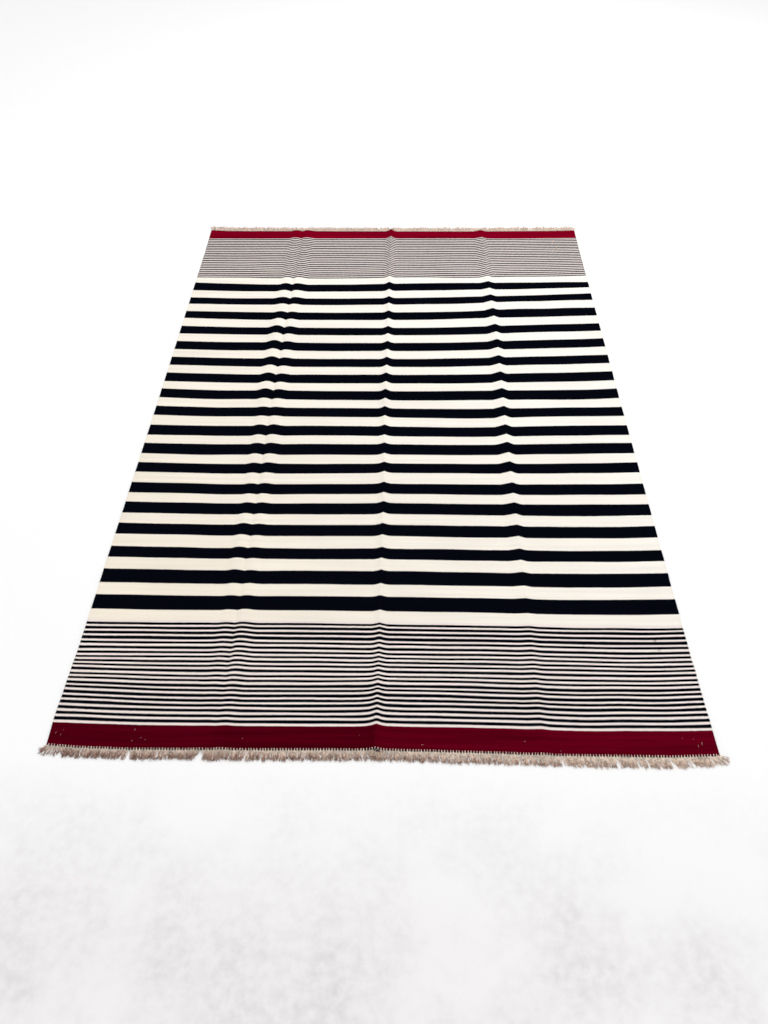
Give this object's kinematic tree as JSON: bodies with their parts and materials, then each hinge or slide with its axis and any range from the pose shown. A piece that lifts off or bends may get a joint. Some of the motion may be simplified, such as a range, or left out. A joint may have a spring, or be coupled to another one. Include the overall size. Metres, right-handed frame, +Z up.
{
  "type": "kilim rug",
  "caption": "Flat-woven rug laid flat, with cross stripes, fine-striped bands and plain end bands, lengthwise fold creases, and a short fringe of warp locks at both ends.",
  "frame": {"origin": "on the floor under the middle of the rug", "axes": "+X across the rug to the right, +Y along it away from the viewer, +Z up off the floor"},
  "size_m": [1.634, 2.4846, 0.0194],
  "materials": {
    "wool_weave": "matt weft-faced flat weave in ivory, black and dark red wool",
    "warp_yarn": "matt undyed grey-beige warp yarn, twisted, with frayed ends"
  },
  "bodies": {
    "root": {"rug_cloth": "wool_weave", "fringe_near": "warp_yarn", "fringe_far": "warp_yarn"}
  },
  "joints": []
}
